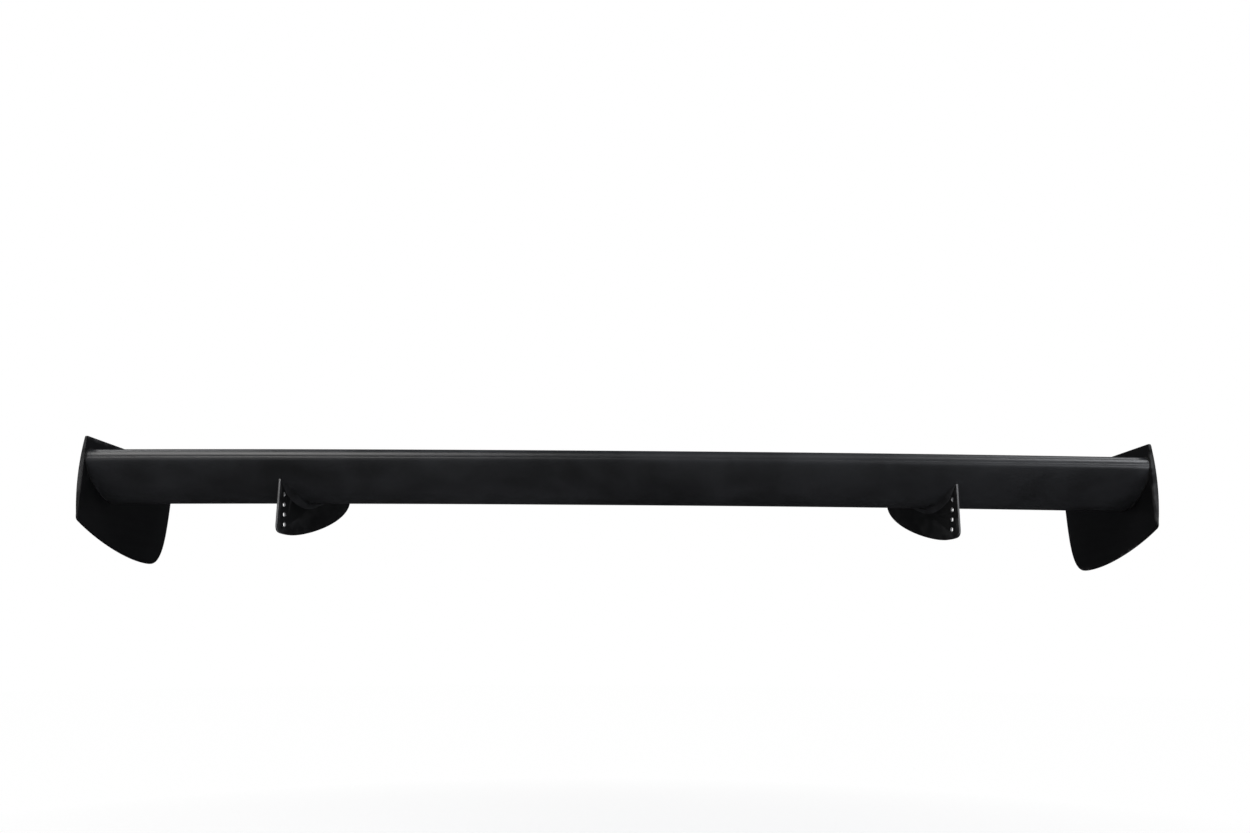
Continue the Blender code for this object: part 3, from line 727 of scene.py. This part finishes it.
def makeTailStrip():
    # solid wedge that closes the two skins along the tail
    section = []
    for line, start in ((upperLine(), blade["stripTop"]), (lowerLine(), blade["stripLow"])):
        beyond = [point for point in line if point[0] > start + 0.003]
        section.append([(start, heightAt(line, start))] + beyond)
    outline = section[0] + section[1][::-1]
    build = bmesh.new()
    ring = [build.verts.new(spot(-bladeEnd, back, up)) for back, up in outline]
    swept = bmesh.ops.extrude_face_region(build, geom=[build.faces.new(ring)])
    moved = [item for item in swept["geom"] if isinstance(item, bmesh.types.BMVert)]
    bmesh.ops.translate(build, vec=(2 * bladeEnd, 0, 0), verts=moved)
    followBow(build)
    strip = newPiece("tailStrip", build)
    easeEdges(strip, blade["stripEase"])
    dress(strip, "blade_gelcoat", ["trailing_edge_strip"], 30)


def makeBlade():
    upper = makeSkin("upperSkin", trimmed(upperLine(), blade["stripTop"] - joint), 1)
    easeEdges(upper, blade["skinEase"])
    dress(upper, "blade_gelcoat", ["upper_skin"])
    lower = makeSkin("lowerSkin", trimmed(lowerLine(), blade["stripLow"] - joint), -1)
    for side in sides.values():
        carveWith(lower, slotBlocks(side))
    easeEdges(lower, blade["skinEase"])
    dress(lower, "blade_gelcoat", ["lower_skin"])
    makeTailStrip()


fin = {
    "thickness": 0.003,
    "halfSpacing": 0.496,   # half the distance between the fins' front edges
    "front": 0.022,
    "toe": math.radians(13.3),
    "corner": ((0.022, -0.1240), (0.022, -0.1325), (0.026, -0.1359), (0.035, -0.1365)),
    "sole": ((0.035, -0.1365), (0.044, -0.1373), (0.054, -0.1373), (0.064, -0.1368)),
    "sweep": ((0.064, -0.1368), (0.112, -0.1330), (0.227, -0.1000), (0.227, -0.0650)),
    "topRear": 0.224,       # where the top edge starts, ahead of the rear corner
    "holeRadius": 0.0033,
    "holes": 4,
    "topHole": (0.0345, -0.0797),
    "holePitch": 0.0146,
    "holeLean": math.radians(9.3),
    "tabs": ((0.038, 0.060, -0.048), (0.104, 0.138, -0.056)),   # from back, to back, top height
    "tabBolts": ((0.049, -0.0585), (0.121, -0.0660)),
    "tabBoltRadius": 0.0028,
    "slotHeight": 0.030,
    "edge": 0.0006,
    "wearAndHighlightFacing": -0.85,  # faces that look forwards more than this get rubbed paint and a painted highlight
    "wearAndHighlightBelow": -0.0447, # and only those below this height, under the blade
    "boreSlack": 0.0001,
}


def finPoint(side, back, up, out=0.0):
    # a point on a fin's middle plane, moved outwards from the car's centre
    along = (back - fin["front"]) / math.cos(fin["toe"])
    x = fin["halfSpacing"] - math.sin(fin["toe"]) * along + math.cos(fin["toe"]) * out
    shift = math.cos(fin["toe"]) * along + math.sin(fin["toe"]) * out
    return spot(side * x, fin["front"] + shift, up)


def finRise(back):
    return rise(finPoint(1, back, 0).x)


def underside(back):
    # height of the blade's lower side over a fin, at whichever of its two faces is lower
    spread = math.sin(fin["toe"]) * fin["thickness"] / 2
    line = lowerLine()
    return min(heightAt(line, back - spread), heightAt(line, back + spread)) + finRise(back)


def alongUnderside(start, end):
    count = max(1, round(abs(start - end) / 0.004))
    return [(back, underside(back) - joint) for back in np.linspace(start, end, count + 1)]


def finOutline():
    # lower front corner, foot, the sweep up to the rear, then along the underside and over each tab
    outline = bend(*fin["corner"], 10) + bend(*fin["sole"], 8) + bend(*fin["sweep"], 40)
    outline.append(fin["sweep"][-1])
    reached = fin["topRear"]
    for start, end, height in reversed(fin["tabs"]):
        outline += alongUnderside(reached, end)
        outline += [(end, height + finRise(end)), (start, height + finRise(start))]
        reached = start
    return outline + alongUnderside(reached, fin["front"])


def toedPlace(side):
    turn = Matrix.Rotation(side * fin["toe"], 4, "Z")
    return Matrix.Translation(finPoint(side, fin["front"], 0)) @ turn


def acrossFin(side, back, up, radius):
    reach = 2 * fin["thickness"]
    return (finPoint(side, back, up, -reach), finPoint(side, back, up, reach), radius)


def makeFin(label, side):
    outline = []
    for back, up in finOutline():
        outline.append(((back - fin["front"]) / math.cos(fin["toe"]), up))
    plate = newPiece("mountFin." + label, plateFrom(outline, fin["thickness"], toedPlace(side)))
    rods = []
    for index in range(fin["holes"]):
        drop = index * fin["holePitch"]
        back = fin["topHole"][0] + drop * math.sin(fin["holeLean"])
        up = fin["topHole"][1] - drop * math.cos(fin["holeLean"])
        rods.append(acrossFin(side, back, up, fin["holeRadius"]))
    for back, up in fin["tabBolts"]:
        rods.append(acrossFin(side, back, up + finRise(back), fin["tabBoltRadius"]))
    carve(plate, rods)
    easeEdges(plate, fin["edge"], 3)
    dress(plate, "fin_paint", ["mount_fin_" + label], 30)
    plate.data.materials.append(finishes["holeWallAndHighlightMetal"])
    plate.data.materials.append(finishes["finEdgeWearAndHighlight"])
    # hole walls and the low forward facing edges get the lighter finishes, each partly a painted
    # highlight
    for face in plate.data.polygons:
        if any(awayFromRod(face.center, rod) < rod[2] + fin["boreSlack"] for rod in rods):
            face.material_index = 1
        elif face.normal.y < fin["wearAndHighlightFacing"] and face.center.z < topZ + fin["wearAndHighlightBelow"]:
            face.material_index = 2


def awayFromRod(point, rod):
    start, end, _ = rod
    along = (end - start).normalized()
    return (point - start).cross(along).length


def slotBlocks(side):
    # boxes that open the lower skin for a fin's tabs
    build = bmesh.new()
    for start, end, _ in fin["tabs"]:
        height = underside((start + end) / 2) + blade["wall"] / 2
        low = finPoint(side, start, height)
        high = finPoint(side, end, height)
        size = (fin["thickness"] + 2 * fit, (high - low).length + 2 * fit, fin["slotHeight"], 1)
        place = Matrix.Translation((low + high) / 2) @ Matrix.Rotation(side * fin["toe"], 4, "Z")
        bmesh.ops.create_cube(build, size=1, matrix=place @ Matrix.Diagonal(size))
    return newPiece("slots", build)


fillet = {
    "leg": 0.0075,
    "front": 0.023,
    "rear": 0.205,
    "taper": 0.020,         # length over which it grows from each end to its full leg
    "tip": 0.2,             # share of its leg left at the very ends
    "stations": 60,
    "arcSteps": 8,
}


def underBlade(side, back, out, down):
    # a point beside a fin's middle plane and a distance below the blade there
    point = finPoint(side, back, 0, out)
    backThere = point.y - frontY
    return spot(point.x, backThere, heightAt(lowerLine(), backThere) + rise(point.x) - down)


def makeFillet(label, side, face, outward):
    # concave bonded fillet along one face of a fin, lofted through its sections
    build = bmesh.new()
    near = fin["thickness"] / 2 + fit
    loops = []
    for back in np.linspace(fillet["front"], fillet["rear"], fillet["stations"]):
        toEnd = min(back - fin["front"], fillet["rear"] - back)
        leg = fillet["leg"] * min(1, fillet["tip"] + (1 - fillet["tip"]) * toEnd / fillet["taper"])
        ring = []
        for step in range(fillet["arcSteps"] + 1):
            angle = math.radians(90) * step / fillet["arcSteps"]
            out = near + leg * (1 - math.sin(angle))
            down = leg * (1 - math.cos(angle)) + 2 * joint
            ring.append(build.verts.new(underBlade(side, back, outward * out, down)))
        ring.append(build.verts.new(underBlade(side, back, outward * near, 2 * joint)))
        loops.append([build.edges.new(pair) for pair in zip(ring, ring[1:] + ring[:1])])
    for loop, following in zip(loops, loops[1:]):
        bmesh.ops.bridge_loops(build, edges=loop + following)
    for loop in (loops[0], loops[-1]):
        bmesh.ops.contextual_create(build, geom=loop)
    piece = newPiece(f"finFillet.{label}.{face}", build)
    dress(piece, "bond_fillet", [f"fin_fillet_{label}_{face}"])


endplate = {
    "edge": 0.0025,         # thickness along the top and bottom edges
    "crown": 0.0040,        # extra thickness at mid height
    "rows": 26,
    "columns": 40,
    "round": 0.0009,
    "corner": ((0.0, -0.1135), (0.0, -0.1185), (0.0010, -0.1205), (0.0050, -0.1228)),
    "sweepPulls": ((0.060, -0.1450), (0.160, -plateHeight)),
    "lowest": (0.235, -plateHeight),
    "lobePulls": ((0.2840, -plateHeight), (0.2875, -0.1200)),
    "rear": (plateLength - 0.0023, -0.0550),
    "topRound": 0.0030,
    "cutReach": 0.010,      # how far cutters reach beyond the inner face
    "screws": ((0.037, -0.0510), (0.114, -0.0640), (0.177, -0.0475)),
    "spotfaceRadius": 0.0072,
    "spotfaceFloor": 0.0024,
}


def plateUnderside():
    lowest, rear = endplate["lowest"], endplate["rear"]
    line = bend(*endplate["corner"], 8)
    line += bend(endplate["corner"][-1], *endplate["sweepPulls"], lowest, 40)
    line += bend(lowest, *endplate["lobePulls"], rear, 40)
    return line + [rear]


def plateOutline():
    end, turn = plateLength, endplate["topRound"]
    pull = turn / 3
    rearCorner = bend((end - 0.0002, -turn), (end, -pull), (end - pull, 0.0), (end - turn, 0.0), 6)
    frontCorner = bend((turn, 0.0), (pull, 0.0), (0.0, -pull), (0.0, -turn), 6)
    return plateUnderside() + rearCorner + [(end - turn, 0.0)] + frontCorner + [(0.0, -turn)]


def crownAt(lower, back, up):
    middle = heightAt(lower, back) / 2
    across = min(1, abs((up - middle) / middle))
    return endplate["edge"] + endplate["crown"] * (1 - across ** 2)


def makeEndplate(label, side):
    # flat inner face, crowned outer face, rounded edges and three spot-faced screw places
    build = bmesh.new()
    corners = [build.verts.new(spot(side * innerFace, back, up)) for back, up in plateOutline()]
    build.faces.new(corners)
    cuts = []
    for row in range(1, endplate["rows"]):
        cuts.append((spot(0, 0, -plateHeight * row / endplate["rows"]), (0, 0, 1)))
    for column in range(1, endplate["columns"]):
        cuts.append((spot(0, plateLength * column / endplate["columns"], 0), (0, 1, 0)))
    for place, direction in cuts:
        everything = build.verts[:] + build.edges[:] + build.faces[:]
        bmesh.ops.bisect_plane(build, geom=everything, plane_co=place, plane_no=direction)
    raised = bmesh.ops.extrude_face_region(build, geom=build.faces[:])
    lower = plateUnderside() + [(plateLength, -endplate["topRound"])]
    for item in raised["geom"]:
        if isinstance(item, bmesh.types.BMVert):
            item.co.x += side * crownAt(lower, item.co.y - frontY, item.co.z - topZ)
    plate = newPiece("endplate." + label, build)
    beyond = side * (innerFace + 2 * endplate["cutReach"])
    inside = side * (innerFace - endplate["cutReach"])
    floor = side * (innerFace + endplate["spotfaceFloor"])
    pockets = []
    bores = []
    for back, up in endplate["screws"]:
        mouth = spot(beyond, back, up)
        pockets.append((spot(floor, back, up), mouth, endplate["spotfaceRadius"]))
        bores.append((spot(inside, back, up), mouth, screw["shank"] + fit))
    carve(plate, pockets, 64)
    carve(plate, bores)
    easeEdges(plate, endplate["round"], 3)
    dress(plate, "endplate_black", ["endplate_" + label], 30)


seal = {"thickness": 0.0010, "lip": 0.0010, "round": 0.0003}


def makeEndSeal(label, side):
    # thin rubber between blade and endplate, with a lip that stands proud of the blade all round
    over = offsetLine(upperLine(), seal["lip"])
    under = offsetLine(lowerLine(), -seal["lip"])
    outline = [tuple(spot(0, back, up).yz) for back, up in over + under[::-1]]
    x = side * (innerFace - fit - seal["thickness"] / 2)
    flat = plateFrom(outline, seal["thickness"], Matrix.Translation((x, 0, 0)))
    sheet = newPiece("endSeal." + label, flat)
    reach = 2 * seal["thickness"]
    rods = []
    for back, up in endplate["screws"]:
        rods.append((spot(x - reach, back, up), spot(x + reach, back, up), screw["shank"] + fit))
    carve(sheet, rods)
    easeEdges(sheet, seal["round"])
    dress(sheet, "seal_rubber", ["end_seal_" + label])


screw = {
    "shank": 0.0030,
    "length": 0.014,
    "headRadius": 0.0052,
    "headHeight": 0.0024,
    "socketRadius": 0.0020,
    "washerRadius": 0.0062,
    "washer": 0.0010,
    "rim": 0.0001,          # small chamfer under the head and round the washer
    "tip": 0.0004,
    "ease": 0.00012,
}


def facing(point, direction):
    return Matrix.Translation(point) @ direction.to_track_quat("Z", "Y").to_matrix().to_4x4()


def turnedPiece(name, profile, place, closed=False):
    # a profile of (radius, height) points spun about its own axis
    build = bmesh.new()
    row = [build.verts.new((radius, 0, height)) for radius, height in profile]
    pairs = list(zip(row, row[1:])) + ([(row[-1], row[0])] if closed else [])
    edges = [build.edges.new(pair) for pair in pairs]
    bmesh.ops.spin(build, geom=row + edges, cent=(0, 0, 0), axis=(0, 0, 1), angle=math.tau, steps=48,
                   use_merge=True)
    bmesh.ops.remove_doubles(build, verts=build.verts, dist=0.000001)
    bmesh.ops.transform(build, matrix=place, verts=build.verts)
    return newPiece(name, build)


def headProfile():
    # button head: a domed top, a short upright rim, the flat under the head and the shank
    radius, height, shank = screw["headRadius"], screw["headHeight"], screw["shank"]
    shoulder = (radius, height * 0.22)
    dome = bend((0, height), (radius * 0.55, height), (radius * 0.92, height * 0.75), shoulder, 10)
    rim = [shoulder, (radius, screw["rim"]), (radius - screw["rim"], 0)]
    end = -screw["length"]
    return dome + rim + [(shank, 0), (shank, end + screw["tip"]), (shank - screw["tip"], end), (0, end)]


def washerProfile():
    outer, inner = screw["washerRadius"], screw["shank"] + fit
    top, rim = screw["washer"], screw["rim"]
    outside = [(outer - rim, top), (outer, top - rim), (outer, rim), (outer - rim, 0)]
    return outside + [(inner + rim, 0), (inner, rim), (inner, top - rim), (inner + rim, top)]


def makePlateFasteners(label, side):
    outwards = Vector((side, 0, 0))
    for place, (back, up) in zip(places, endplate["screws"]):
        tag = f"{label}.{place}"
        node = f"{label}_{place}"
        floorX = innerFace + endplate["spotfaceFloor"] + fit
        floor = facing(spot(side * floorX, back, up), outwards)
        washer = turnedPiece("washer." + tag, washerProfile(), floor, True)
        dress(washer, "plate_screws", ["washer_" + node])
        seat = facing(spot(side * (floorX + screw["washer"] + fit), back, up), outwards)
        bolt = turnedPiece("plateScrew." + tag, headProfile(), seat)
        socketFloor = seat @ Vector((0, 0, screw["headHeight"] * 0.4))
        socketMouth = seat @ Vector((0, 0, screw["headHeight"] * 2))
        carve(bolt, [(socketFloor, socketMouth, screw["socketRadius"])], 6)
        easeEdges(bolt, screw["ease"])
        dress(bolt, "plate_screws", ["endplate_screw_" + node])


def dressInnerNodes():
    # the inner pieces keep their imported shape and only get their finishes
    for part in frame["record"]["subparts"]:
        node = nodes[part["node"]]
        node.data.materials.clear()
        node.data.materials.append(finishes[part["material_slot"]])


print("stage 1: camera, studio and floor")
makeCamera(cameraSetup)
makeWorld(worldSetup)
for lightName, lightSetup in lights.items():
    makeLight(lightName, lightSetup)
makeFloor(floorSetup)
print("stage 2: finishes")
finishes = makeFinishes()
dressInnerNodes()
print("stage 3: blade")
makeBlade()
print("stage 4: fins, fillets and endplates")
for sideName, sideSign in sides.items():
    makeFin(sideName, sideSign)
    makeFillet(sideName, sideSign, "outer", 1)
    makeFillet(sideName, sideSign, "inner", -1)
    makeEndplate(sideName, sideSign)
    makeEndSeal(sideName, sideSign)
    makePlateFasteners(sideName, sideSign)

bpy.context.view_layer.update()
print("stage 5: done")
